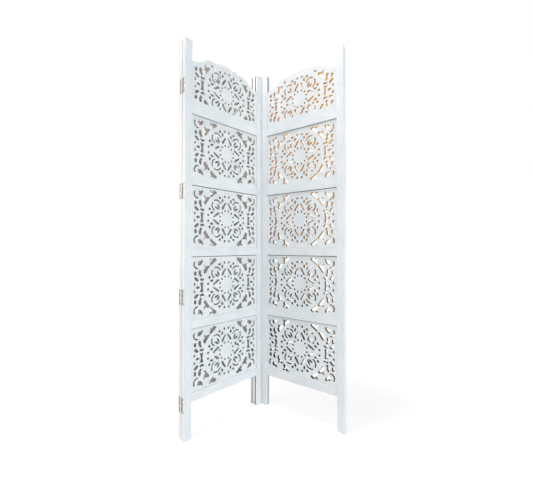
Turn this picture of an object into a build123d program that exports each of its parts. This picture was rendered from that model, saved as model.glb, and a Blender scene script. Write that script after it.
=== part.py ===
from build123d import *
import os
from math import radians, tan

# A folding screen of three leaves. Each leaf is a mortised frame that holds carved panels in grooves,
# and butt hinges with real pins and screws join the leaves. Millimetres and degrees. +Z is up and the
# front faces -Y. The origin is on the floor, under the middle of the screen's bounding box.

# Frame of a leaf
leaf_width = 486.0
leaf_thickness = 25.0
stile_width = 36.0
rail_height = 39.0
leg_height = 165.0
opening_height = 292.5
crest_bay_height = 300.0
panels_per_leaf = 4
edge_rounding = 1.2
end_chamfer = 0.8

# Joints of the frame and seats of the panels
panel_thickness = 18.0
panel_recess = 5.0
tongue_thickness = 6.0
groove_depth = 6.0
panel_gap = 0.3
head_gap = 3.0
tenon_length = 18.0
tenon_thickness = 9.0
tenon_shoulder = 8.0
joint_fit = 0.1
mortise_end_gap = 0.5
expansion_gap = 0.4

# Hinges, four to a joint, let flush into the edges
hinge_count = 4
lowest_hinge = 155.5
hinge_spacing = 486.5
hinge_length = 64.0
knuckle_count = 5
knuckle_gap = 0.3
barrel_radius = 4.0
pin_radius = 2.0
pin_fit = 0.05
pin_end = 0.6
pin_chamfer = 0.4
plate_thickness = 2.0
plate_reach = 23.5
plate_corner = 0.8
plate_fit = 0.1
seat_end = 2.0
barrel_gap = 1.5
notch_end = 2.0
axis_from_face = 0.4
axis_from_edge = 0.4

# Screws of the hinges
screw_length = 15.0
screw_radius = 1.9
screw_hole_radius = 2.05
screw_head_angle = 90.0
screw_fit = 0.05
screw_tip = 3.0
screws_per_plate = 4
screw_pitch = 16.5
screw_stagger = 2.2
screw_setback = 10.0
pilot_end_gap = 0.5
recess_length = 3.4
recess_width = 0.8
recess_depth = 0.8

# How the screen stands
standing_angle = 97.8

# Carving: room it is drawn in, plain margin round it, and its motifs. An outline lists a corner, a point
# on the arc to the next corner, the next corner, and so on round. Coordinates run from the centre of
# the medallion, right and up.
carving_width = 384.0
carving_height = 272.0
carving_margin = 10.25

dot_ring_radius = 42.5
dot_ring_count = 12
dot_length = 11.0
dot_width = 8.5

scroll_centre = 64.5
scroll_radius = 26.5
scroll_width = 7.0
scroll_start = 64.0
scroll_sweep = 88.0

petal_slit = [
    (7.5, 84.5), (17.0, 76), (24.0, 65), (30.5, 57), (30.5, 49), (26, 46.5), (20.5, 48.5),
    (17.0, 57.5), (10.8, 64.5), (11.8, 68), (7.5, 72), (4.8, 78.5),
]
rosette_slit = [(43.5, 48.5), (48.0, 65), (58.5, 75.5), (56.8, 60)]
ring_hole_inner = [(8.2, 111), (12.5, 106), (18.8, 110.5), (14.5, 118)]
ring_hole_middle = [(23.2, 98.5), (22.0, 88), (32.5, 83), (33.0, 92), (27.5, 101), (25, 101)]
ring_hole_outer = [(36.5, 102.5), (42.5, 98.0), (50.5, 103), (48.0, 110), (39.0, 108.5), (37, 106.5)]

trefoil = [
    (62.5, 124.5), (80.5, 112.3), (96.8, 99.5), (102.0, 109), (98.0, 118), (101.0, 127),
    (109.0, 133.5), (97.0, 133), (87.0, 127.5), (83.0, 135.8), (74.5, 135.5), (66.0, 133),
]
side_trefoil_shift = 3.0

corner_leaf = [
    (145.5, 133.0), (153.5, 125.5), (163.0, 124.5), (170.5, 121.5), (170.5, 112.5), (170.0, 106.5),
    (163.5, 103.5), (152.0, 108), (144.0, 118.5), (142.5, 126),
]
corner_hook_arc = [(188.5, 119.5), (189.5, 101.5), (172.0, 89.5)]
corner_hook_width = 7.0
bean = [
    (159.0, 84.5), (167.0, 72), (161.0, 57.5), (153.0, 49), (147.0, 54.5), (150.0, 60.5),
    (153.5, 63), (151.5, 74),
]
square_dot_centre = (184.0, 66.5)
square_dot_size = (12.5, 18.5)
square_dot_corner = 3.0
side_leaf = [
    (191.5, 46.0), (180.5, 49.5), (173.5, 44.5), (170.0, 40), (164.5, 34.5), (172.0, 29.5),
    (181.5, 33), (187.5, 39),
]
side_slit = [
    (133.5, 42.5), (141.0, 40.5), (149.5, 41.5), (156.0, 43), (157.5, 35.5), (148.5, 29.5),
    (137.5, 33.5), (134.5, 38),
]
bracket = [
    (139.5, 19.0), (141.5, 23.5), (148.0, 22.0), (155.0, 22.5), (161.0, 25.5), (155.3, 12.5),
    (152.8, 0.0), (155.3, -12.5), (161.0, -25.5), (155.0, -22.5), (148.0, -22.0), (141.5, -23.5),
    (139.5, -19.0), (142.3, 0.0),
]
side_oval = (20.0, 12.0)
side_oval_place = 170.5
small_triangle = [(183.0, 17.5), (187.5, 23.5), (193.0, 22.0), (190.5, 17), (193.0, 12.0), (187.5, 11.5)]

# Crest: its medallion's height above the top rail, where its carving stops, and half of its outline
crest_medallion_height = 113.0
crest_carving_bottom = -84.0
crest_ring_bottom = -60.0
crest_oval_place = (92.0, 115.5)
crest_oval_size = (15.0, 10.0)
crest_oval_turn = -18.0
crest_peak = (0.0, 260.0)
crest_lobes = [
    (24.0, 258.0), (37.0, 253.5), (51.0, 258.5), (68.5, 245.5),
    (97.0, 251.5), (129.0, 241.0), (160.0, 219.5),
]
crest_shoulder = 209.0

# Sizes that follow
opening_width = leaf_width - 2 * stile_width
bay_pitch = rail_height + opening_height
rail_bottoms = [leg_height + step * bay_pitch for step in range(panels_per_leaf + 1)]
top_rail_top = rail_bottoms[-1] + rail_height
leaf_height = top_rail_top + crest_bay_height
panel_width = opening_width + 2 * groove_depth - 2 * expansion_gap
panel_height = opening_height + 2 * groove_depth - expansion_gap
body_width = opening_width - 2 * panel_gap
body_height = opening_height - panel_gap - head_gap
panel_front = leaf_thickness / 2 - panel_recess
panel_back = panel_front - panel_thickness
groove_width = tongue_thickness + 2 * joint_fit
tenon_height = rail_height - 2 * tenon_shoulder
hinge_heights = [lowest_hinge + step * hinge_spacing for step in range(hinge_count)]
knuckle_length = (hinge_length - (knuckle_count - 1) * knuckle_gap) / knuckle_count
flap_start = barrel_radius + barrel_gap
notch_length = hinge_length + 2 * notch_end
screw_head_height = plate_thickness - screw_fit
screw_head_radius = screw_radius + screw_head_height * tan(radians(screw_head_angle / 2))
carving_scale = min(
    (opening_width - 2 * carving_margin) / carving_width,
    (opening_height - 2 * carving_margin) / carving_height,
)

# Where the leaves stand. A leaf's plane has its origin on the floor under the leaf's middle, x along its
# width, y up and z out of its front. The rear leaf is folded flat behind the left one, so it faces back.
left_along = Vector(1, 0, 0).rotate(Axis.Z, (180 - standing_angle) / 2)
right_along = Vector(1, 0, 0).rotate(Axis.Z, (standing_angle - 180) / 2)
left_front = left_along.cross(Vector(0, 0, 1))
right_front = right_along.cross(Vector(0, 0, 1))
middle_to_axis = leaf_width / 2 + axis_from_edge
core_to_axis = leaf_thickness / 2 + axis_from_face
left_middle = -left_along * middle_to_axis - left_front * core_to_axis
right_middle = right_along * middle_to_axis - right_front * core_to_axis
rear_middle = left_middle - left_front * (2 * core_to_axis)
middles = [left_middle, right_middle, rear_middle]
box_middle = Vector(
    (min(spot.X for spot in middles) + max(spot.X for spot in middles)) / 2,
    (min(spot.Y for spot in middles) + max(spot.Y for spot in middles)) / 2,
)
leaf_planes = {
    "left": Plane(origin=left_middle - box_middle, x_dir=left_along, z_dir=left_front),
    "right": Plane(origin=right_middle - box_middle, x_dir=right_along, z_dir=right_front),
    "rear": Plane(origin=rear_middle - box_middle, x_dir=-left_along, z_dir=-left_front),
}

# A joint lies at an end of a leaf (-1 left, 1 right, seen from the leaf's front), on its front (1) or its
# back (-1). The rear leaf hangs on the left leaf's outer edge, and the right leaf on its inner edge.
LEFT_END, RIGHT_END = -1, 1
FRONT, BACK = 1, -1
joint_sides = {
    "rear": {"left": (LEFT_END, BACK), "rear": (RIGHT_END, BACK)},
    "centre": {"left": (RIGHT_END, FRONT), "right": (LEFT_END, FRONT)},
}


def edge_face(leaf, end, side, height):
    """Plane on a stile's edge at a hinge: x from the barrel across the edge, z out of the edge."""
    plane = leaf_planes[leaf]
    across_to_axis = side * (leaf_thickness / 2 + axis_from_face)
    origin = plane.from_local_coords(Vector(end * leaf_width / 2, height, across_to_axis))
    return Plane(origin=origin, x_dir=plane.z_dir * -side, z_dir=plane.x_dir * end)


def barrel_section(leaf, end, side, height):
    """Level plane with its origin on the hinge's axis: x across the stile's edge, z up."""
    edge = edge_face(leaf, end, side, height)
    return Plane(origin=edge.origin + edge.z_dir * axis_from_edge, x_dir=edge.x_dir, z_dir=(0, 0, 1))


def screw_points():
    """Screw centres on a plate, seen on its edge face, for a hinge centred at the origin."""
    across = plate_reach - screw_setback
    return [
        (across + screw_stagger * (-1) ** place, (place - (screws_per_plate - 1) / 2) * screw_pitch)
        for place in range(screws_per_plate)
    ]


def keep(part_builder, name):
    """Label a finished piece and write it under its own name."""
    part_builder.part.label = name
    export_step(part_builder.part, f"parts/{name}.step")


# ------------------------------------------------------------------------------------------ carving
def carve(course):
    """A closed hole whose outline runs corner, point on the arc, next corner, and so on."""
    with BuildLine() as outline:
        for corner, on_arc, next_corner in zip(course[0::2], course[1::2], course[2::2] + course[:1]):
            ThreePointArc(corner, on_arc, next_corner)
    make_face(outline.line)


def carve_quarters(quarter):
    """The holes of one quarter, mirrored to all four."""
    with BuildSketch() as quarters:
        add(quarter)
        mirror(about=Plane.YZ)
        mirror(about=Plane.XZ)
    return quarters.sketch


def carve_eighths(eighth):
    """The holes between the upright and the upper right diagonal, repeated round the medallion."""
    with BuildSketch() as eighths:
        with PolarLocations(0, 4):
            add(eighth)
            add(mirror(eighth, about=Plane.YZ, mode=Mode.PRIVATE))
    return eighths.sketch


def keep_above(holes, bottom):
    """The part of some holes that lies above a level."""
    with BuildSketch() as kept:
        add(holes)
        with Locations((0, bottom - carving_height / 2)):
            Rectangle(leaf_width, carving_height, mode=Mode.SUBTRACT)
    return kept.sketch


with BuildSketch() as dots:
    with PolarLocations(dot_ring_radius, dot_ring_count, start_angle=180 / dot_ring_count):
        Ellipse(dot_length / 2, dot_width / 2)

with BuildSketch() as heart_eighth:
    carve(petal_slit)
    carve(rosette_slit)
    with BuildLine() as scroll_line:
        CenterArc((scroll_centre, scroll_centre), scroll_radius, scroll_start, scroll_sweep)
    SlotArc(scroll_line.line.edge(), scroll_width)

with BuildSketch() as ring_eighth:
    carve(ring_hole_inner)
    carve(ring_hole_middle)
    carve(ring_hole_outer)

with BuildSketch() as upright_trefoil:
    carve(trefoil)

with BuildSketch() as side_trefoil:
    with Locations((side_trefoil_shift, 0)):
        add(mirror(upright_trefoil.sketch, about=Plane((0, 0, 0), z_dir=(1, -1, 0)), mode=Mode.PRIVATE))

with BuildSketch() as corner_quarter:
    carve(corner_leaf)
    with BuildLine() as hook_line:
        ThreePointArc(*corner_hook_arc)
    SlotArc(hook_line.line.edge(), corner_hook_width)

with BuildSketch() as flank_quarter:
    carve(bean)
    carve(side_leaf)
    carve(side_slit)
    carve(small_triangle)
    with Locations(square_dot_centre):
        RectangleRounded(*square_dot_size, square_dot_corner)

with BuildSketch() as brackets:
    carve(bracket)
    with Locations((side_oval_place, 0)):
        Ellipse(side_oval[0] / 2, side_oval[1] / 2)
    mirror(about=Plane.YZ)

heart = carve_eighths(heart_eighth.sketch)
ring = carve_eighths(ring_eighth.sketch)
upright_trefoils = carve_quarters(upright_trefoil.sketch)
side_trefoils = carve_quarters(side_trefoil.sketch)
corners = carve_quarters(corner_quarter.sketch)
flanks = carve_quarters(flank_quarter.sketch)

with BuildSketch() as panel_holes:
    add([dots.sketch, heart, ring, upright_trefoils, side_trefoils, corners, flanks, brackets.sketch])
    scale(by=carving_scale)

with BuildSketch() as crest_oval:
    with Locations(Location(crest_oval_place, crest_oval_turn)):
        Ellipse(crest_oval_size[0] / 2, crest_oval_size[1] / 2)
    mirror(about=Plane.YZ)

with BuildSketch() as crest_holes:
    add([dots.sketch, keep_above(heart, crest_carving_bottom), keep_above(ring, crest_ring_bottom)])
    add([keep_above(side_trefoils, crest_carving_bottom), keep_above(flanks, crest_carving_bottom)])
    add([brackets.sketch, crest_oval.sketch])
    scale(by=carving_scale)

# A rectangular panel, from the middle of the upper face of the rail below it; its tongue starts at the
# bottom of that rail's groove
with BuildSketch() as panel_face:
    with Locations((0, panel_height / 2 - groove_depth)):
        Rectangle(panel_width, panel_height)
        add(panel_holes.sketch, mode=Mode.SUBTRACT)

# The border of it that is thinned to a tongue
with BuildSketch() as panel_rebate:
    with Locations((0, panel_height / 2 - groove_depth)):
        Rectangle(panel_width, panel_height)
    with Locations((0, panel_gap + body_height / 2)):
        Rectangle(body_width, body_height, mode=Mode.SUBTRACT)

# The crest, from the middle of the top rail's upper face
with BuildSketch() as crest_face:
    with BuildLine() as crest_outline:
        run = [crest_peak] + crest_lobes + [(panel_width / 2, crest_shoulder)]
        for start, on_arc, finish in zip(run[0::2], run[1::2], run[2::2]):
            ThreePointArc(start, on_arc, finish)
        Line((panel_width / 2, crest_shoulder), (panel_width / 2, -groove_depth))
        Line((panel_width / 2, -groove_depth), (0, -groove_depth))
        mirror(about=Plane.YZ)
    make_face()
    with Locations((0, crest_medallion_height)):
        add(crest_holes.sketch, mode=Mode.SUBTRACT)

# The border of it that is thinned to a tongue: its bottom and both sides
with BuildSketch() as crest_rebate:
    with Locations((0, (crest_bay_height - groove_depth) / 2)):
        Rectangle(panel_width, crest_bay_height + groove_depth)
    with Locations((0, panel_gap + crest_bay_height / 2)):
        Rectangle(body_width, crest_bay_height, mode=Mode.SUBTRACT)


# ------------------------------------------------------------------------------------------- leaves
def build_stile(leaf, end):
    """An upright, with the groove all along its inner edge, its mortises and the seats of its hinges."""
    plane = leaf_planes[leaf]
    level = Plane(origin=plane.origin, x_dir=plane.x_dir, z_dir=(0, 0, 1))
    mortise_depth = tenon_length + mortise_end_gap
    mortise_width = tenon_thickness + 2 * joint_fit
    with BuildPart() as stile:
        with BuildSketch(level):
            with Locations((end * (leaf_width - stile_width) / 2, 0)):
                RectangleRounded(stile_width, leaf_thickness, edge_rounding)
        extrude(amount=leaf_height)
        chamfer(stile.faces().filter_by(Axis.Z).edges(), end_chamfer)
        with BuildSketch(level):
            with Locations((end * (opening_width + groove_depth) / 2, 0)):
                Rectangle(groove_depth, groove_width)
        extrude(amount=leaf_height, mode=Mode.SUBTRACT)
        with BuildSketch(plane.offset(-mortise_width / 2)):
            for rail_bottom in rail_bottoms:
                with Locations((end * (opening_width + mortise_depth) / 2, rail_bottom + rail_height / 2)):
                    Rectangle(mortise_depth, tenon_height + 2 * joint_fit)
        extrude(amount=mortise_width, mode=Mode.SUBTRACT)
        for sides in joint_sides.values():
            if sides.get(leaf, (0, 0))[0] == end:
                for height in hinge_heights:
                    edge = edge_face(leaf, *sides[leaf], height)
                    with BuildSketch(edge):
                        with Locations(((plate_reach + plate_fit) / 2, 0)):
                            Rectangle(plate_reach + plate_fit, hinge_length + 2 * seat_end)
                    extrude(amount=-plate_thickness, mode=Mode.SUBTRACT)
                    with BuildSketch(barrel_section(leaf, *sides[leaf], height - notch_length / 2)):
                        Circle(flap_start)
                    extrude(amount=notch_length, mode=Mode.SUBTRACT)
                    with Locations(edge):
                        with Locations(*screw_points()):
                            Hole(screw_radius + screw_fit, screw_length + pilot_end_gap)
    return stile


def build_rail(leaf, number):
    """A crosspiece with a tenon at each end and a groove for each panel that meets it."""
    plane = leaf_planes[leaf]
    middle = rail_bottoms[number] + rail_height / 2
    section = Plane(
        origin=plane.from_local_coords(Vector(-opening_width / 2, middle, 0)),
        x_dir=(0, 0, 1),
        z_dir=plane.x_dir,
    )
    with BuildPart() as rail:
        with BuildSketch(section):
            RectangleRounded(rail_height, leaf_thickness, edge_rounding)
            grooved_edges = [1] if number == 0 else [-1, 1]
            for edge in grooved_edges:
                with Locations((edge * (rail_height - groove_depth) / 2, 0)):
                    Rectangle(groove_depth, groove_width, mode=Mode.SUBTRACT)
        extrude(amount=opening_width)
        for tenon_root in (section.offset(-tenon_length), section.offset(opening_width)):
            with BuildSketch(tenon_root):
                Rectangle(tenon_height, tenon_thickness)
            extrude(amount=tenon_length)
    return rail


def build_sheet(leaf, sheet, rebate, height):
    """A carved sheet, its border thinned on both faces to the tongue that enters the grooves round it."""
    plane = leaf_planes[leaf]
    with BuildPart() as carved:
        with BuildSketch(plane.offset(panel_back)):
            with Locations((0, height)):
                add(sheet)
        extrude(amount=panel_thickness)
        for tongue_face, sheet_face in ((tongue_thickness / 2, panel_front), (-tongue_thickness / 2, panel_back)):
            with BuildSketch(plane.offset(tongue_face)):
                with Locations((0, height)):
                    add(rebate)
            extrude(amount=sheet_face - tongue_face, mode=Mode.SUBTRACT)
    return carved


for leaf in leaf_planes:
    keep(build_stile(leaf, LEFT_END), f"{leaf}_leaf_left_stile")
    keep(build_stile(leaf, RIGHT_END), f"{leaf}_leaf_right_stile")
    for number in range(len(rail_bottoms)):
        keep(build_rail(leaf, number), f"{leaf}_leaf_rail_{number + 1}")
    for number in range(panels_per_leaf):
        opening_bottom = rail_bottoms[number] + rail_height
        panel = build_sheet(leaf, panel_face.sketch, panel_rebate.sketch, opening_bottom)
        keep(panel, f"{leaf}_leaf_panel_{number + 1}")
    keep(build_sheet(leaf, crest_face.sketch, crest_rebate.sketch, top_rail_top), f"{leaf}_leaf_crest")


# ------------------------------------------------------------------------------------------- hinges
def build_plate(leaf, end, side, height, knuckles):
    """A hinge plate: a flap let into the stile's edge, the knuckles that carry it, its sunk holes."""
    edge = edge_face(leaf, end, side, height)
    flap_width = plate_reach - flap_start
    to_wood = end * side
    with BuildPart() as plate:
        with BuildSketch(edge) as flap:
            with Locations((flap_start + flap_width / 2, 0)):
                Rectangle(flap_width, hinge_length)
            fillet(flap.vertices().group_by(Axis.X)[-1], plate_corner)
        extrude(amount=-plate_thickness)
        for knuckle in knuckles:
            foot = height - hinge_length / 2 + knuckle * (knuckle_length + knuckle_gap)
            with BuildSketch(barrel_section(leaf, end, side, foot)):
                Circle(barrel_radius)
                with Locations((flap_start / 2, to_wood * (axis_from_edge + plate_thickness / 2))):
                    Rectangle(flap_start, plate_thickness)
            extrude(amount=knuckle_length)
        with BuildSketch(barrel_section(leaf, end, side, height - hinge_length / 2)):
            Circle(pin_radius + pin_fit)
        extrude(amount=hinge_length, mode=Mode.SUBTRACT)
        with Locations(edge):
            with Locations(*screw_points()):
                CounterSinkHole(
                    screw_hole_radius,
                    screw_head_radius + screw_fit,
                    plate_thickness,
                    counter_sink_angle=screw_head_angle,
                )
    return plate


def build_pins(leaf, end, side):
    """The pins of a joint's hinges, each a little longer than its barrel."""
    with BuildPart() as pins:
        for height in hinge_heights:
            with BuildSketch(barrel_section(leaf, end, side, height - hinge_length / 2 - pin_end)):
                Circle(pin_radius)
            extrude(amount=hinge_length + 2 * pin_end)
        chamfer(pins.faces().filter_by(Axis.Z).edges(), pin_chamfer)
    return pins


# One screw: flat countersunk head at z = 0, plain shank below, and a cross recess
with BuildPart() as screw:
    with BuildSketch(Plane.XZ):
        with BuildLine():
            Polyline(
                (0, 0),
                (screw_head_radius, 0),
                (screw_radius, -screw_head_height),
                (screw_radius, -screw_length + screw_tip),
                (0, -screw_length),
                close=True,
            )
        make_face()
    revolve(axis=Axis.Z)
    with BuildSketch():
        Rectangle(recess_length, recess_width)
        Rectangle(recess_width, recess_length)
    extrude(amount=-recess_depth, mode=Mode.SUBTRACT)


def build_screws(leaf, end, side):
    """All the screws of a joint that hold to one leaf."""
    with BuildPart() as screws:
        for height in hinge_heights:
            with Locations(edge_face(leaf, end, side, height)):
                with Locations(*screw_points()):
                    add(screw.part)
    return screws


# The left leaf's plate of each hinge has the outer and middle knuckles and holds the pin
for joint, sides in joint_sides.items():
    for leaf, (end, side) in sides.items():
        knuckles = range(0, knuckle_count, 2) if leaf == "left" else range(1, knuckle_count, 2)
        for number, height in enumerate(hinge_heights, start=1):
            keep(build_plate(leaf, end, side, height, knuckles), f"{joint}_hinge_{number}_{leaf}_plate")
        keep(build_screws(leaf, end, side), f"{joint}_hinge_{leaf}_screws")
    keep(build_pins("left", *sides["left"]), f"{joint}_hinge_pins")
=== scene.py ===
from math import atan2, radians

import bpy
from mathutils import Matrix, Vector


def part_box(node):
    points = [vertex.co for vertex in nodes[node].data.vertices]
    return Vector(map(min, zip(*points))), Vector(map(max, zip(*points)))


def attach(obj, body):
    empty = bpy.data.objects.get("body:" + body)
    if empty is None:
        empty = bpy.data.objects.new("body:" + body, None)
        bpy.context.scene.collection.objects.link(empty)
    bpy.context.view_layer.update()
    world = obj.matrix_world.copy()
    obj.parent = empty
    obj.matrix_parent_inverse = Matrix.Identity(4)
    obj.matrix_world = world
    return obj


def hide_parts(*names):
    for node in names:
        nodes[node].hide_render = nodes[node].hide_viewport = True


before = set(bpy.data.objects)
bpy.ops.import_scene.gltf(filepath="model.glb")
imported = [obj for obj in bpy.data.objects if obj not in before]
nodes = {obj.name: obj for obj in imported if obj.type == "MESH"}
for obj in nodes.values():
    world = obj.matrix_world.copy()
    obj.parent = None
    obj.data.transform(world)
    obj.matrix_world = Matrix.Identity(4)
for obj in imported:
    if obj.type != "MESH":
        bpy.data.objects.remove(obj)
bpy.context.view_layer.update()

# A white folding screen of three leaves with pierced panels. Metres, as in the frame. The frame members,
# hinges and screws keep their CAD shapes and get finishes. The pierced panels and crests are made anew
# with the soft rim that sanding and paint leave round every cut.
MM = 0.001

LEAVES = ["left", "right", "rear"]
RAILS_PER_LEAF = 5
HINGES_PER_JOINT = 4
# each joint with the two leaves that it joins
JOINTS = {"rear": ["left", "rear"], "centre": ["left", "right"]}
# the pierced sheets of a leaf
SHEETS = ["panel_1", "panel_2", "panel_3", "panel_4", "crest"]


# ------------------------------------------------------------------------------------ places of leaves
def leaf_place(leaf):
    """Where a leaf stands: x along its width, y to its back, z up, from the floor under its middle."""
    left, right = [sum(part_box(f"{leaf}_leaf_{end}_stile"), Vector()) / 2 for end in ("left", "right")]
    middle, along = (left + right) / 2, right - left
    return Matrix.Translation((middle.x, middle.y, 0)) @ Matrix.Rotation(atan2(along.y, along.x), 4, "Z")


places = {leaf: leaf_place(leaf) for leaf in LEAVES}


def measure(node, leaf):
    """A node's lowest and highest corners in its leaf's own directions."""
    turned = [places[leaf].inverted() @ vertex.co for vertex in nodes[node].data.vertices]
    return [Vector([pick(spot[axis] for spot in turned) for axis in range(3)]) for pick in (min, max)]


def hinge_axis(joint, leaf):
    """Where a joint's axis stands in a leaf's own directions."""
    low, high = measure(f"{joint}_hinge_pins", leaf)
    return (low + high) / 2


# ------------------------------------------------------------------------------------------- finishes
def hex_to_linear(code):
    """An sRGB hex colour as the linear red, green and blue that a shader takes, with full opacity."""
    channels = [int(code[place:place + 2], 16) / 255 for place in (1, 3, 5)]
    return [c / 12.92 if c <= 0.04045 else ((c + 0.055) / 1.055) ** 2.4 for c in channels] + [1.0]


def pattern_scale(millimetres):
    """The scale at which a pattern's features are this far apart."""
    return 1 / (millimetres * MM)


def add_node(tree, kind, settings=None, inputs=None):
    """Adds a shader node with its settings. An input is a value, or the socket that it is linked from."""
    node = tree.nodes.new("ShaderNode" + kind)
    for name, value in (settings or {}).items():
        setattr(node, name, value)
    for name, value in (inputs or {}).items():
        if isinstance(value, bpy.types.NodeSocket):
            tree.links.new(value, node.inputs[name])
        else:
            node.inputs[name].default_value = value
    return node


# settings that many nodes share
COLOURS = {"data_type": "RGBA"}
SMOOTH = {"interpolation_type": "SMOOTHSTEP"}
# Several sockets of a Mix node share a name, so those for colours go by number: how much of the coat lies
# over the ground, the ground, the coat, and the colour that comes out. Math sockets are 0, 1 and 2 in order.
SHARE, GROUND, COAT, MIXED = 0, 6, 7, 2


def new_finish(name):
    """A new material and its shader tree, which is still empty."""
    finish = bpy.data.materials.new(name)
    finish.use_nodes = True
    finish.node_tree.nodes.clear()
    return finish, finish.node_tree


def leaf_coordinates(tree, leaf):
    """Object coordinates turned so that x runs along the leaf and y through it."""
    place = add_node(tree, "TexCoord")
    turn = places[leaf].inverted()
    return add_node(
        tree,
        "Mapping",
        {"vector_type": "POINT"},
        {"Vector": place.outputs["Object"], "Location": turn.translation, "Rotation": turn.to_euler()},
    ).outputs["Vector"]


# how well the surface's normal and the one rounded over corners agree: on flat ground, and on a corner
FLAT_AGREEMENT = 0.995
SHARP_AGREEMENT = 0.86


def corner_wear(tree, radius):
    """1 on an edge, falling to 0 at a radius from it."""
    bevel = add_node(tree, "Bevel", {"samples": 4}, {"Radius": radius})
    surface = add_node(tree, "NewGeometry")
    agreement = add_node(
        tree,
        "VectorMath",
        {"operation": "DOT_PRODUCT"},
        {0: bevel.outputs["Normal"], 1: surface.outputs["Normal"]},
    )
    return add_node(
        tree,
        "MapRange",
        SMOOTH,
        {
            "Value": agreement.outputs["Value"],
            "From Min": FLAT_AGREEMENT,
            "From Max": SHARP_AGREEMENT,
            "To Min": 0.0,
            "To Max": 1.0,
        },
    ).outputs["Result"]


# how far painted shade reaches from a joint's axis, the share of that over which it is darkest, and how much
# of the paint's white it darkens there
JOINT_SHADE = {"rear": 1.6 * MM, "centre": 3.6 * MM}
THICK_SHADE = 0.6
SHADE_COVER = 0.9


def shade_at_joint(tree, spot, joint, leaf):
    """How much painted shade darkens the corner that meets the next leaf, from the most along the joint's
    axis down to 0.
    """
    axis = hinge_axis(joint, leaf)
    reach = JOINT_SHADE[joint]
    flat = add_node(tree, "VectorMath", {"operation": "MULTIPLY"}, {0: spot, 1: (1, 1, 0)})
    away = add_node(
        tree, "VectorMath", {"operation": "DISTANCE"}, {0: flat.outputs["Vector"], 1: (axis.x, axis.y, 0)}
    )
    return add_node(
        tree,
        "MapRange",
        SMOOTH,
        {
            "Value": away.outputs["Value"],
            "From Min": THICK_SHADE * reach,
            "From Max": reach,
            "To Min": SHADE_COVER,
            "To Max": 0.0,
        },
    ).outputs["Result"]


# painted shade begins this far in from a stile's edges and its faces, which is past its rounded corners
SHADE_FROM_EDGE = 0.3 * MM
SHADE_FROM_FACE = 1.3 * MM
# the painted shade in there: dark on the left and rear leaves, pale on the right leaf where more light falls
SEAT_SHADE = {"left": "#4f4136", "right": "#bdb7b0", "rear": "#4f4136"}


def shaded_inside(tree, spot, leaf):
    """1 in the grooves, mortises and hinge seats of a leaf's stiles, which lie within their outer faces."""
    low, high = measure(f"{leaf}_leaf_right_stile", leaf)
    middle, half = (low + high) / 2, (high - low) / 2
    apart = add_node(tree, "SeparateXYZ", {}, {"Vector": spot})
    across = add_node(tree, "Math", {"operation": "ABSOLUTE"}, {0: apart.outputs["X"]})
    within = add_node(
        tree,
        "Math",
        {"operation": "COMPARE"},
        {0: across.outputs["Value"], 1: middle.x, 2: half.x - SHADE_FROM_EDGE},
    )
    through = add_node(
        tree,
        "Math",
        {"operation": "COMPARE"},
        {0: apart.outputs["Y"], 1: middle.y, 2: half.y - SHADE_FROM_FACE},
    )
    return add_node(
        tree, "Math", {"operation": "MULTIPLY"}, {0: within.outputs["Value"], 1: through.outputs["Value"]}
    ).outputs["Value"]
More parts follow.
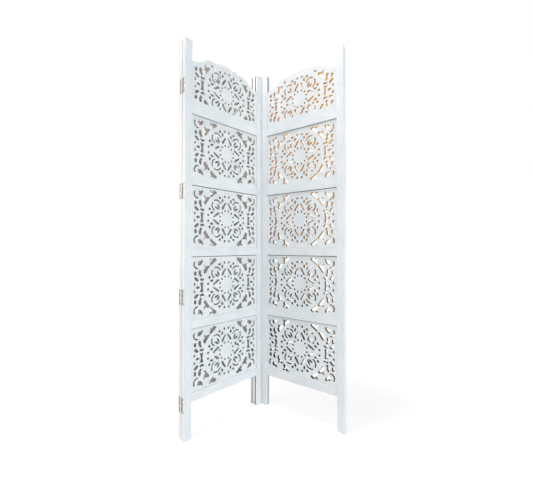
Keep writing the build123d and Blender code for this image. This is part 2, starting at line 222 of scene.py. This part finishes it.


# Satin white paint, brushed over planed mango wood. The eye gets a cool clean white with faint brush lines
# along each member, a soft cloudiness where coats overlap, corners where the paint has pulled thin and the
# warm wood begins to tint it, painted shade along the corners where two leaves meet, and painted shade
# inside the grooves and hinge seats, dark on the left and rear leaves and pale on the right one.
def brushed_white_on_mango(leaf, grain):
    finish, tree = new_finish(f"brushed_white_on_mango_{leaf}_{grain}")
    thin_white, full_white = hex_to_linear("#dee4e8"), hex_to_linear("#f1f3f5")
    # the second colour here is painted shade for the corners where two leaves meet
    wood_under_paint, seam_shade = hex_to_linear("#cdbfa6"), hex_to_linear("#6c655e")
    spot = leaf_coordinates(tree, leaf)
    # brush lines about 3 mm apart and 90 mm long, drawn coarser than real bristle marks so that they show
    across, run = pattern_scale(3), pattern_scale(90)
    lines = (across, across, run) if grain == "upright" else (run, across, across)
    stretched = add_node(tree, "Mapping", {"vector_type": "POINT"}, {"Vector": spot, "Scale": lines})
    brush = add_node(
        tree,
        "TexNoise",
        {},
        {"Vector": stretched.outputs["Vector"], "Scale": 1.0, "Detail": 3.0, "Roughness": 0.55},
    )
    # clouds of coat thickness, about 125 mm across
    clouds = add_node(
        tree, "TexNoise", {}, {"Vector": spot, "Scale": pattern_scale(125), "Detail": 4.0, "Roughness": 0.6}
    )
    streaked = add_node(
        tree, "Math", {"operation": "ADD"}, {0: clouds.outputs["Fac"], 1: brush.outputs["Fac"]}
    )
    thick = add_node(
        tree, "MapRange", {}, {"Value": streaked.outputs["Value"], "From Min": 0.7, "From Max": 1.3}
    )
    white = add_node(
        tree, "Mix", COLOURS, {SHARE: thick.outputs["Result"], GROUND: thin_white, COAT: full_white}
    )
    # rubbed spots along the corners, 10 to 30 mm long
    rubs = add_node(
        tree, "TexNoise", {}, {"Vector": spot, "Scale": pattern_scale(22), "Detail": 5.0, "Roughness": 0.7}
    )
    rubbed = add_node(
        tree,
        "MapRange",
        SMOOTH,
        {"Value": rubs.outputs["Fac"], "From Min": 0.42, "From Max": 0.68, "To Min": 0.1, "To Max": 0.75},
    )
    worn = add_node(
        tree, "Math", {"operation": "MULTIPLY"}, {0: corner_wear(tree, 2.2 * MM), 1: rubbed.outputs["Result"]}
    )
    colour = add_node(
        tree,
        "Mix",
        COLOURS,
        {SHARE: worn.outputs["Value"], GROUND: white.outputs[MIXED], COAT: wood_under_paint},
    ).outputs[MIXED]
    # only the stiles meet another leaf and hold grooves and seats that can be seen
    if grain == "upright":
        for joint, leaves in JOINTS.items():
            if leaf in leaves:
                # painted shade in the corner where this leaf meets the next one
                seam_shaded = shade_at_joint(tree, spot, joint, leaf)
                colour = add_node(
                    tree, "Mix", COLOURS, {SHARE: seam_shaded, GROUND: colour, COAT: seam_shade}
                ).outputs[MIXED]
        # painted shade in the grooves, mortises and hinge seats
        inside = shaded_inside(tree, spot, leaf)
        colour = add_node(
            tree, "Mix", COLOURS, {SHARE: inside, GROUND: colour, COAT: hex_to_linear(SEAT_SHADE[leaf])}
        ).outputs[MIXED]
    # the ridges that the brush left are a little duller than the hollows between them
    sheen = add_node(
        tree,
        "MapRange",
        {},
        {"Value": brush.outputs["Fac"], "From Min": 0.3, "From Max": 0.7, "To Min": 0.38, "To Max": 0.5},
    )
    relief = add_node(
        tree, "Bump", {}, {"Strength": 0.5, "Distance": 0.25 * MM, "Height": brush.outputs["Fac"]}
    )
    paint = add_node(
        tree,
        "BsdfPrincipled",
        {},
        {
            "Base Color": colour,
            "Roughness": sheen.outputs["Result"],
            "IOR": 1.5,
            "Normal": relief.outputs["Normal"],
        },
    )
    add_node(tree, "OutputMaterial", {}, {"Surface": paint.outputs["BSDF"]})
    return finish


# Satin white paint sprayed over the flat faces of pierced fibreboard. The eye gets a smooth, slightly
# pebbled white that thins at the rim of every cut, where the board's warm brown starts to show.
def sprayed_white_on_fibreboard(leaf):
    finish, tree = new_finish(f"sprayed_white_on_fibreboard_{leaf}")
    thin_white, full_white = hex_to_linear("#dde3e6"), hex_to_linear("#eff2f4")
    board_under_paint = hex_to_linear("#c2ae8c")
    spot = leaf_coordinates(tree, leaf)
    # clouds of coat thickness, about 90 mm across
    clouds = add_node(
        tree, "TexNoise", {}, {"Vector": spot, "Scale": pattern_scale(90), "Detail": 4.0, "Roughness": 0.6}
    )
    thick = add_node(
        tree, "MapRange", {}, {"Value": clouds.outputs["Fac"], "From Min": 0.25, "From Max": 0.75}
    )
    white = add_node(
        tree, "Mix", COLOURS, {SHARE: thick.outputs["Result"], GROUND: thin_white, COAT: full_white}
    )
    # a rim loses half of its coat at most
    thinned = add_node(tree, "Math", {"operation": "MULTIPLY"}, {0: corner_wear(tree, 1.6 * MM), 1: 0.5})
    colour = add_node(
        tree,
        "Mix",
        COLOURS,
        {SHARE: thinned.outputs["Value"], GROUND: white.outputs[MIXED], COAT: board_under_paint},
    )
    # orange peel of a spray coat: pebbles about 2.5 mm across
    peel = add_node(tree, "TexNoise", {}, {"Vector": spot, "Scale": pattern_scale(2.5), "Detail": 2.0})
    relief = add_node(
        tree, "Bump", {}, {"Strength": 0.25, "Distance": 0.15 * MM, "Height": peel.outputs["Fac"]}
    )
    sheen = add_node(
        tree,
        "MapRange",
        {},
        {"Value": clouds.outputs["Fac"], "From Min": 0.3, "From Max": 0.7, "To Min": 0.42, "To Max": 0.52},
    )
    paint = add_node(
        tree,
        "BsdfPrincipled",
        {},
        {
            "Base Color": colour.outputs[MIXED],
            "Roughness": sheen.outputs["Result"],
            "IOR": 1.5,
            "Normal": relief.outputs["Normal"],
        },
    )
    add_node(tree, "OutputMaterial", {}, {"Surface": paint.outputs["BSDF"]})
    return finish


# The spray reached into the cuts of the left and rear leaves and hardly into those of the right one: how
# much of it lies in the middle of the board's thickness, and how far in from both faces it thickens.
CUT_COATS = {"left": (0.9, 2.5 * MM), "right": (0.03, 0.9 * MM), "rear": (0.9, 2.5 * MM)}
# how much of it lies at the faces
FACE_COAT = 0.9


# Cut walls of fibreboard, routed, with as much of the white spray as reached them. The eye gets the
# board's golden brown, with painted shade that turns it dark brown towards the floor and towards the leaf's
# left, painted light that turns it a paler peach and gold in the upper panels, and white mist that is
# thickest near both faces.
def routed_fibreboard(leaf):
    finish, tree = new_finish(f"routed_fibreboard_{leaf}")
    # near-black and golden brown are painted shade for the lower walls, peach and gold painted light for the
    # upper ones
    shaded_brown, golden_brown = hex_to_linear("#0d0906"), hex_to_linear("#7a5618")
    peach, gold = hex_to_linear("#ebc9b4"), hex_to_linear("#f4ca5e")
    white_mist = hex_to_linear("#dadbdf")
    spot = leaf_coordinates(tree, leaf)
    # fibres drawn about 1.6 mm across, coarser than real ones so that they show, and patches of 70 mm
    fibres = add_node(
        tree, "TexNoise", {}, {"Vector": spot, "Scale": pattern_scale(1.6), "Detail": 4.0, "Roughness": 0.65}
    )
    patches = add_node(
        tree, "TexNoise", {}, {"Vector": spot, "Scale": pattern_scale(70), "Detail": 3.0, "Roughness": 0.6}
    )
    apart = add_node(tree, "SeparateXYZ", {}, {"Vector": spot})
    # from the left part of the leaf to its right part, in metres from its middle; the painted shade lifts
    # towards the right
    along = add_node(
        tree,
        "MapRange",
        {},
        {"Value": apart.outputs["X"], "From Min": -0.2, "From Max": 0.15, "To Min": -0.4, "To Max": 0.4},
    )
    golden = add_node(
        tree,
        "Math",
        {"operation": "ADD", "use_clamp": True},
        {0: patches.outputs["Fac"], 1: along.outputs["Result"]},
    )
    shaded_lower_board = add_node(
        tree, "Mix", COLOURS, {SHARE: golden.outputs["Value"], GROUND: shaded_brown, COAT: golden_brown}
    )
    lit_upper_board = add_node(
        tree, "Mix", COLOURS, {SHARE: golden.outputs["Value"], GROUND: peach, COAT: gold}
    )
    # from the lowest panel to the highest one, in metres above the floor; painted shade below gives way to
    # painted light above
    lit_upwards = add_node(
        tree, "MapRange", {}, {"Value": apart.outputs["Z"], "From Min": 0.4, "From Max": 1.3}
    )
    board = add_node(
        tree,
        "Mix",
        COLOURS,
        {
            SHARE: lit_upwards.outputs["Result"],
            GROUND: shaded_lower_board.outputs[MIXED],
            COAT: lit_upper_board.outputs[MIXED],
        },
    )
    low, high = measure(f"{leaf}_leaf_panel_1", leaf)
    half_thickness = (high.y - low.y) / 2
    coat_inside, coat_depth = CUT_COATS[leaf]
    from_middle = add_node(
        tree, "Math", {"operation": "SUBTRACT"}, {0: apart.outputs["Y"], 1: (low.y + high.y) / 2}
    )
    depth = add_node(tree, "Math", {"operation": "ABSOLUTE"}, {0: from_middle.outputs["Value"]})
    near_face = add_node(
        tree,
        "MapRange",
        SMOOTH,
        {
            "Value": depth.outputs["Value"],
            "From Min": half_thickness - coat_depth,
            "From Max": half_thickness,
            "To Min": coat_inside,
            "To Max": FACE_COAT,
        },
    )
    speckled = add_node(
        tree,
        "MapRange",
        {},
        {"Value": fibres.outputs["Fac"], "From Min": 0.3, "From Max": 0.6, "To Min": 0.6, "To Max": 1.0},
    )
    mist = add_node(
        tree,
        "Math",
        {"operation": "MULTIPLY"},
        {0: near_face.outputs["Result"], 1: speckled.outputs["Result"]},
    )
    colour = add_node(
        tree, "Mix", COLOURS, {SHARE: mist.outputs["Value"], GROUND: board.outputs[MIXED], COAT: white_mist}
    )
    relief = add_node(
        tree, "Bump", {}, {"Strength": 0.4, "Distance": 0.2 * MM, "Height": fibres.outputs["Fac"]}
    )
    wall = add_node(
        tree,
        "BsdfPrincipled",
        {},
        {
            "Base Color": colour.outputs[MIXED],
            "Roughness": 0.85,
            "IOR": 1.45,
            "Normal": relief.outputs["Normal"],
        },
    )
    add_node(tree, "OutputMaterial", {}, {"Surface": wall.outputs["BSDF"]})
    return finish


# The panel's edge as it was sawn and left unpainted, coloured near black and dark brown-grey as painted shade
# of the narrow gap between it and the frame. The eye gets a dark line wherever a panel's edge can be seen
# between it and the frame.
def gap_shade_fibreboard(leaf):
    finish, tree = new_finish(f"gap_shade_fibreboard_{leaf}")
    # both colours are painted shade of the gap between the panel and the frame
    gap_shadow, shaded_sawn_board = hex_to_linear("#1f1c1a"), hex_to_linear("#564d45")
    spot = leaf_coordinates(tree, leaf)
    # torn fibres about 2 mm across
    fibres = add_node(
        tree, "TexNoise", {}, {"Vector": spot, "Scale": pattern_scale(2), "Detail": 4.0, "Roughness": 0.7}
    )
    colour = add_node(
        tree, "Mix", COLOURS, {SHARE: fibres.outputs["Fac"], GROUND: gap_shadow, COAT: shaded_sawn_board}
    )
    relief = add_node(
        tree, "Bump", {}, {"Strength": 0.5, "Distance": 0.2 * MM, "Height": fibres.outputs["Fac"]}
    )
    edge = add_node(
        tree,
        "BsdfPrincipled",
        {},
        {
            "Base Color": colour.outputs[MIXED],
            "Roughness": 0.9,
            "IOR": 1.45,
            "Normal": relief.outputs["Normal"],
        },
    )
    add_node(tree, "OutputMaterial", {}, {"Surface": edge.outputs["BSDF"]})
    return finish


# Mild steel, drawn for the pins and zinced for the screws, dulled by handling. The eye gets a grey-brown
# metal with darker stains about 8 mm across, brighter and smoother where it is rubbed, and fine scratches.
# Their spacing is in millimetres along x, y and z.
def dull_steel(name, stained, rubbed, roughness, spacing):
    finish, tree = new_finish(name)
    place = add_node(tree, "TexCoord")
    stains = add_node(
        tree,
        "TexNoise",
        {},
        {"Vector": place.outputs["Object"], "Scale": pattern_scale(8), "Detail": 5.0, "Roughness": 0.65},
    )
    drawn = add_node(
        tree,
        "Mapping",
        {"vector_type": "POINT"},
        {"Vector": place.outputs["Object"], "Scale": [pattern_scale(gap) for gap in spacing]},
    )
    lines = add_node(tree, "TexNoise", {}, {"Vector": drawn.outputs["Vector"], "Scale": 1.0, "Detail": 3.0})
    colour = add_node(
        tree,
        "Mix",
        COLOURS,
        {SHARE: stains.outputs["Fac"], GROUND: hex_to_linear(stained), COAT: hex_to_linear(rubbed)},
    )
    sheen = add_node(
        tree,
        "MapRange",
        {},
        {
            "Value": stains.outputs["Fac"],
            "From Min": 0.3,
            "From Max": 0.7,
            "To Min": roughness + 0.12,
            "To Max": roughness - 0.08,
        },
    )
    relief = add_node(
        tree, "Bump", {}, {"Strength": 0.3, "Distance": 0.05 * MM, "Height": lines.outputs["Fac"]}
    )
    metal = add_node(
        tree,
        "BsdfPrincipled",
        {},
        {
            "Base Color": colour.outputs[MIXED],
            "Metallic": 1.0,
            "Roughness": sheen.outputs["Result"],
            "Normal": relief.outputs["Normal"],
        },
    )
    add_node(tree, "OutputMaterial", {}, {"Surface": metal.outputs["BSDF"]})
    return finish


# Strips of painted shade beside the outer joint's knuckles: the middle of each from the joint's axis,
# towards the rear leaf, its width, and its colour, grey and brownish.
SHADED_STRIPS = {"rear": [(-7.0 * MM, 8.0 * MM, "#a5a7aa"), (17.0 * MM, 9.0 * MM, "#86796f")]}
# how far the edge of a strip wanders
RAGGEDNESS = 3.0 * MM


# The same white brushed over the steel of the hinges. The eye gets the frame's white on plates and knuckles,
# thin dark lines along their edges that are partly broken paint and partly painted shade of their outlines,
# and on the outer joint two long strips of painted shade, grey and brownish, beside the knuckles.
def brushed_white_on_steel(joint):
    finish, tree = new_finish(f"brushed_white_on_steel_{joint}")
    thin_white, full_white = hex_to_linear("#e2e3e3"), hex_to_linear("#f1f1f0")
    # a dark colour that is partly bare steel and partly painted shade along the edges
    dark_steel_and_shade = hex_to_linear("#5d554e")
    spot = leaf_coordinates(tree, "left")
    # flakes about 4 mm across along the edges
    flakes = add_node(
        tree, "TexNoise", {}, {"Vector": spot, "Scale": pattern_scale(4), "Detail": 4.0, "Roughness": 0.7}
    )
    flaked = add_node(
        tree,
        "MapRange",
        SMOOTH,
        {"Value": flakes.outputs["Fac"], "From Min": 0.35, "From Max": 0.55, "To Min": 0.3, "To Max": 0.8},
    )
    bare = add_node(
        tree, "Math", {"operation": "MULTIPLY"}, {0: corner_wear(tree, 1.0 * MM), 1: flaked.outputs["Result"]}
    )
    # clouds of coat thickness, about 16 mm across
    clouds = add_node(
        tree, "TexNoise", {}, {"Vector": spot, "Scale": pattern_scale(16), "Detail": 4.0, "Roughness": 0.6}
    )
    white = add_node(
        tree, "Mix", COLOURS, {SHARE: clouds.outputs["Fac"], GROUND: thin_white, COAT: full_white}
    )
    colour = add_node(
        tree,
        "Mix",
        COLOURS,
        {SHARE: bare.outputs["Value"], GROUND: white.outputs[MIXED], COAT: dark_steel_and_shade},
    ).outputs[MIXED]
    apart = add_node(tree, "SeparateXYZ", {}, {"Vector": spot})
    ragged = add_node(
        tree,
        "Math",
        {"operation": "MULTIPLY_ADD"},
        {0: flakes.outputs["Fac"], 1: RAGGEDNESS, 2: apart.outputs["Y"]},
    )
    # the strips lay painted shade over the white beside the knuckles
    for place, width, steel in SHADED_STRIPS.get(joint, []):
        middle = hinge_axis(joint, "left").y + place + RAGGEDNESS / 2
        strip = add_node(
            tree, "Math", {"operation": "COMPARE"}, {0: ragged.outputs["Value"], 1: middle, 2: width / 2}
        )
        colour = add_node(
            tree,
            "Mix",
            COLOURS,
            {SHARE: strip.outputs["Value"], GROUND: colour, COAT: hex_to_linear(steel)},
        ).outputs[MIXED]
    relief = add_node(
        tree, "Bump", {}, {"Strength": 0.3, "Distance": 0.15 * MM, "Height": clouds.outputs["Fac"]}
    )
    sheen = add_node(
        tree, "MapRange", {}, {"Value": clouds.outputs["Fac"], "To Min": 0.4, "To Max": 0.52}
    )
    paint = add_node(
        tree,
        "BsdfPrincipled",
        {},
        {
            "Base Color": colour,
            "Roughness": sheen.outputs["Result"],
            "IOR": 1.5,
            "Normal": relief.outputs["Normal"],
        },
    )
    add_node(tree, "OutputMaterial", {}, {"Surface": paint.outputs["BSDF"]})
    return finish


def dress(node, finish):
    """Gives a CAD node one finish all over."""
    data = nodes[node].data
    data.materials.clear()
    data.materials.append(finish)


for leaf in LEAVES:
    stile_paint = brushed_white_on_mango(leaf, "upright")
    rail_paint = brushed_white_on_mango(leaf, "level")
    for end in ("left", "right"):
        dress(f"{leaf}_leaf_{end}_stile", stile_paint)
    for number in range(1, RAILS_PER_LEAF + 1):
        dress(f"{leaf}_leaf_rail_{number}", rail_paint)

# scratches run along a drawn pin, 0.5 mm apart, and every way over a screw's head, 0.7 mm apart
pin_steel = dull_steel("drawn_steel_pins", "#77726c", "#a8a39d", 0.35, (0.5, 0.5, 5))
screw_steel = dull_steel("zinced_steel_screws", "#8f8c87", "#c2c0bb", 0.4, (0.7, 0.7, 0.7))
for joint, leaves in JOINTS.items():
    plate_paint = brushed_white_on_steel(joint)
    dress(f"{joint}_hinge_pins", pin_steel)
    for leaf in leaves:
        dress(f"{joint}_hinge_{leaf}_screws", screw_steel)
        for number in range(1, HINGES_PER_JOINT + 1):
            dress(f"{joint}_hinge_{number}_{leaf}_plate", plate_paint)


# ------------------------------------------------------------------------------------- pierced sheets
# radius of the soft rim round every cut
RIM = 0.8 * MM
# thickness of the tongue that enters the grooves, and how far its frame reaches in from the sheet's edge
TONGUE = 6.0 * MM
TONGUE_REACH = 10.0 * MM
# corners of a mesh that lie closer than this are one
WELD = 0.001 * MM
# what lies within this of the front, or of a sheet's side, belongs to it
FRONT_DEPTH = 0.1 * MM
SIDE_DEPTH = 1.0 * MM
# the finishes of a sheet, in the order of its material slots: paint, cut walls, and the tongue's painted
# shade
PAINTED, CUT, SHADED_TONGUE = 0, 1, 2
# a facet of a rim is painted where this much of its normal points to the front or the back
PAINTED_LEAN = 0.3
# the angle up to which facets shade as one round surface
ROUND_ANGLE = radians(40)


def select_only(piece):
    bpy.ops.object.select_all(action="DESELECT")
    piece.select_set(True)
    bpy.context.view_layer.objects.active = piece


def select_faces(piece, wanted):
    """Selects the faces that a test picks, and leaves the piece in edit mode."""
    select_only(piece)
    bpy.ops.object.mode_set(mode="EDIT")
    bpy.ops.mesh.select_mode(type="FACE")
    bpy.ops.mesh.select_all(action="DESELECT")
    bpy.ops.object.mode_set(mode="OBJECT")
    for face in piece.data.polygons:
        face.select = wanted(face)
    bpy.ops.object.mode_set(mode="EDIT")


def flat_outline(node, leaf):
    """The borders of a sheet's front face, laid on the ground plane, as a flat curve."""
    outline = bpy.data.objects.new("outline", nodes[node].data.copy())
    bpy.context.scene.collection.objects.link(outline)
    outline.data.transform(Matrix.Rotation(radians(-90), 4, "X") @ places[leaf].inverted())
    select_only(outline)
    bpy.ops.object.mode_set(mode="EDIT")
    bpy.ops.mesh.select_all(action="SELECT")
    bpy.ops.mesh.remove_doubles(threshold=WELD)
    bpy.ops.object.mode_set(mode="OBJECT")
    # only the front face stays, and of that only its borders
    front = max(vertex.co.z for vertex in outline.data.vertices)
    select_faces(outline, lambda face: face.center.z < front - FRONT_DEPTH)
    bpy.ops.mesh.delete(type="FACE")
    bpy.ops.mesh.select_all(action="SELECT")
    bpy.ops.mesh.region_to_loop()
    bpy.ops.mesh.select_all(action="INVERT")
    bpy.ops.mesh.delete(type="EDGE")
    bpy.ops.object.mode_set(mode="OBJECT")
    bpy.ops.object.convert(target="CURVE")
    return bpy.context.view_layer.objects.active


def pierced_body(node, leaf):
    """A sheet cut to a CAD sheet's outlines, with rounded rims, lying on its back with its front up."""
    low, high = measure(node, leaf)
    sheet = flat_outline(node, leaf)
    curve = sheet.data
    curve.dimensions = "2D"
    curve.fill_mode = "BOTH"
    curve.extrude = (high.y - low.y) / 2 - RIM
    curve.bevel_depth = RIM
    curve.bevel_resolution = 1
    curve.offset = -RIM
    select_only(sheet)
    bpy.ops.object.convert(target="MESH")
    sheet = bpy.context.view_layer.objects.active
    top = max(vertex.co.z for vertex in sheet.data.vertices)
    sheet.data.transform(Matrix.Translation((0, 0, -low.y - top)))
    bpy.ops.object.mode_set(mode="EDIT")
    bpy.ops.mesh.select_all(action="SELECT")
    bpy.ops.mesh.remove_doubles(threshold=2 * WELD)
    bpy.ops.mesh.normals_make_consistent(inside=False)
    bpy.ops.object.mode_set(mode="OBJECT")
    return sheet


def tongue_round(node, leaf, closed):
    """The thin border that enters the grooves, from a frame that reaches a little way into the sheet."""
    low, high = measure(node, leaf)
    spots = [places[leaf].inverted() @ vertex.co for vertex in nodes[node].data.vertices]
    # the tongue ends where the sheet's side does, which on a crest is below its arch
    shoulder = max(spot.z for spot in spots if spot.x > high.x - SIDE_DEPTH)
    bpy.ops.object.select_all(action="DESELECT")
    bpy.ops.mesh.primitive_plane_add(size=1, location=(0, (low.z + shoulder) / 2, 0))
    tongue = bpy.context.view_layer.objects.active
    tongue.data.transform(tongue.matrix_world @ Matrix.Diagonal((high.x - low.x, shoulder - low.z, 1, 1)))
    tongue.matrix_world = Matrix.Identity(4)
    bpy.ops.object.mode_set(mode="EDIT")
    bpy.ops.mesh.inset(thickness=TONGUE_REACH, depth=0)
    bpy.ops.mesh.delete(type="FACE")
    bpy.ops.object.mode_set(mode="OBJECT")
    if not closed:
        select_faces(tongue, lambda face: face.center.y > shoulder - TONGUE_REACH)
        bpy.ops.mesh.delete(type="FACE")
        bpy.ops.object.mode_set(mode="OBJECT")
    bpy.ops.object.mode_set(mode="EDIT")
    bpy.ops.mesh.select_all(action="SELECT")
    bpy.ops.transform.translate(value=(0, 0, -TONGUE / 2))
    bpy.ops.mesh.extrude_region_move(TRANSFORM_OT_translate={"value": (0, 0, TONGUE)})
    bpy.ops.mesh.select_all(action="SELECT")
    bpy.ops.mesh.normals_make_consistent(inside=False)
    bpy.ops.object.mode_set(mode="OBJECT")
    return tongue


def pierced_sheet(node, leaf, closed):
    """A sheet with its tongue, standing in the leaf's own directions: painted faces and bare cuts."""
    sheet = pierced_body(node, leaf)
    tongue = tongue_round(node, leaf, closed)
    select_only(sheet)
    tongue.select_set(True)
    body_faces = len(sheet.data.polygons)
    bpy.ops.object.join()
    sheet.data.materials.clear()
    sheet.data.transform(Matrix.Rotation(radians(90), 4, "X"))
    for face in sheet.data.polygons:
        painted = abs(face.normal.y) > PAINTED_LEAN and abs(face.center.y) > TONGUE / 2 + RIM
        # the tongue takes the painted shade of the gap
        face.material_index = SHADED_TONGUE if face.index >= body_faces else PAINTED if painted else CUT
    bpy.ops.object.shade_smooth_by_angle(angle=ROUND_ANGLE)
    # at full weight the wide faces stay flat and only the rims shade round
    bpy.ops.object.modifier_add(type="WEIGHTED_NORMAL")
    sheet.modifiers["WeightedNormal"].keep_sharp = True
    sheet.modifiers["WeightedNormal"].weight = 100
    bpy.ops.object.modifier_apply(modifier="WeightedNormal")
    return sheet


def set_in_leaf(pattern, leaf, part, finishes):
    """A copy of a sheet, moved up the leaf to its own place and turned with the leaf."""
    node = f"{leaf}_leaf_{part}"
    sheet = bpy.data.objects.new(f"pierced_{node}", pattern.data.copy())
    bpy.context.scene.collection.objects.link(sheet)
    rise = measure(node, leaf)[0].z - min(vertex.co.z for vertex in pattern.data.vertices)
    sheet.data.transform(places[leaf] @ Matrix.Translation((0, 0, rise)))
    for finish in finishes:
        sheet.data.materials.append(finish)
    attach(sheet, f"{leaf}_leaf")
    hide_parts(node)


panel_pattern = pierced_sheet("left_leaf_panel_1", "left", closed=True)
crest_pattern = pierced_sheet("left_leaf_crest", "left", closed=False)
for leaf in LEAVES:
    finishes = [sprayed_white_on_fibreboard(leaf), routed_fibreboard(leaf), gap_shade_fibreboard(leaf)]
    for part in SHEETS:
        set_in_leaf(crest_pattern if part == "crest" else panel_pattern, leaf, part, finishes)
bpy.data.objects.remove(panel_pattern)
bpy.data.objects.remove(crest_pattern)


# ---------------------------------------------------------------------------------------------- stage
def seen_directly(tree):
    """1 for what the camera, a gloss or a glass sees, 0 for light that falls on the screen."""
    ray = add_node(tree, "LightPath")
    looks = add_node(
        tree,
        "Math",
        {"operation": "MAXIMUM"},
        {0: ray.outputs["Is Camera Ray"], 1: ray.outputs["Is Glossy Ray"]},
    )
    return add_node(
        tree,
        "Math",
        {"operation": "MAXIMUM"},
        {0: looks.outputs["Value"], 1: ray.outputs["Is Transmission Ray"]},
    ).outputs["Value"]


# The floor is matt white board. The eye gets the white of the room, with the screen's faint shadow in it.
def matt_white_floor():
    finish, tree = new_finish("matt_white_floor")
    matt = add_node(tree, "BsdfDiffuse", {}, {"Color": hex_to_linear("#f4f4f4")})
    glow = add_node(tree, "Emission", {}, {"Color": hex_to_linear("#ffffff"), "Strength": 1.08})
    # from 1.8 m out the floor is as white as the room, and within 0.5 m its board shows through the glow
    place = add_node(tree, "TexCoord")
    away = add_node(tree, "VectorMath", {"operation": "LENGTH"}, {0: place.outputs["Object"]})
    white = add_node(
        tree,
        "MapRange",
        SMOOTH,
        {"Value": away.outputs["Value"], "From Min": 0.5, "From Max": 1.8, "To Min": 0.7, "To Max": 1.0},
    )
    share = add_node(
        tree, "Math", {"operation": "MULTIPLY"}, {0: seen_directly(tree), 1: white.outputs["Result"]}
    )
    mixed = add_node(
        tree,
        "MixShader",
        {},
        {0: share.outputs["Value"], 1: matt.outputs["BSDF"], 2: glow.outputs["Emission"]},
    )
    add_node(tree, "OutputMaterial", {}, {"Surface": mixed.outputs["Shader"]})
    return finish


# wide enough to reach the horizon, and just under the feet
FLOOR_WIDTH = 60
FLOOR_DROP = 0.5 * MM

bpy.ops.object.select_all(action="DESELECT")
bpy.ops.mesh.primitive_plane_add(size=FLOOR_WIDTH, location=(0, 0, -FLOOR_DROP))
floor = bpy.context.view_layer.objects.active
floor.name = "studio_floor"
floor.data.materials.append(matt_white_floor())

# every soft box stands this far from the screen's middle and points at it
LAMP_DISTANCE = 3
SCREEN_MIDDLE = Vector((0, 0, 0.9))


def soft_box(name, bearing, height, size, power, tint):
    """A square soft box: its bearing from the front and angle up in degrees, its side, watts and tint."""
    lamp = bpy.data.lights.new(name, "AREA")
    lamp.size = size
    lamp.energy = power
    lamp.color = hex_to_linear(tint)[:3]
    holder = bpy.data.objects.new(name, lamp)
    bpy.context.scene.collection.objects.link(holder)
    aim = Matrix.Rotation(radians(bearing), 3, "Z") @ Matrix.Rotation(radians(-height), 3, "X")
    away = aim @ Vector((0, -LAMP_DISTANCE, 0))
    holder.location = SCREEN_MIDDLE + away
    holder.rotation_euler = (-away).to_track_quat("-Z", "Y").to_euler()


soft_box("left_soft_box", -90, 10, 1.5, 36, "#fff2ea")
soft_box("upper_left_soft_box", -60, 45, 1.5, 13.5, "#fff6f2")
soft_box("ceiling_soft_box", -45, 78, 0.5, 53, "#fbfdff")
soft_box("front_soft_box", 0, 5, 1.5, 7, "#eafbff")
soft_box("right_soft_box", 45, 5, 1.5, 36.5, "#f6fbfd")
soft_box("back_soft_box", 180, 50, 1.5, 36, "#ffffff")

# the white room: how much of its white falls on the screen as light, where 1 is all that the eye gets
ROOM_LIGHT = 0.28

world = bpy.data.worlds.new("white_studio")
bpy.context.scene.world = world
world.use_nodes = True
world.node_tree.nodes.clear()
strength = add_node(
    world.node_tree,
    "MapRange",
    {},
    {"Value": seen_directly(world.node_tree), "To Min": ROOM_LIGHT, "To Max": 1.0},
)
room = add_node(
    world.node_tree,
    "Background",
    {},
    {"Color": hex_to_linear("#ffffff"), "Strength": strength.outputs["Result"]},
)
add_node(world.node_tree, "OutputWorld", {}, {"Surface": room.outputs["Background"]})

# A wide lens 1.6 m in front of the screen and 0.87 m up. Tilt and turn are in radians, up and to the left.
CAMERA_PLACE = (-0.10205, -1.6061, 0.87419)
CAMERA_TILT = 0.014596
CAMERA_TURN = -0.0790
CAMERA_LENS = 21.0159
SENSOR_WIDTH = 36.0

lens = bpy.data.cameras.new("studio_camera")
lens.lens = CAMERA_LENS
lens.sensor_width = SENSOR_WIDTH
lens.sensor_fit = "HORIZONTAL"
camera = bpy.data.objects.new("studio_camera", lens)
bpy.context.scene.collection.objects.link(camera)
camera.location = CAMERA_PLACE
camera.rotation_euler = (radians(90) + CAMERA_TILT, 0, CAMERA_TURN)
bpy.context.scene.camera = camera

bpy.context.scene.view_settings.view_transform = "Standard"
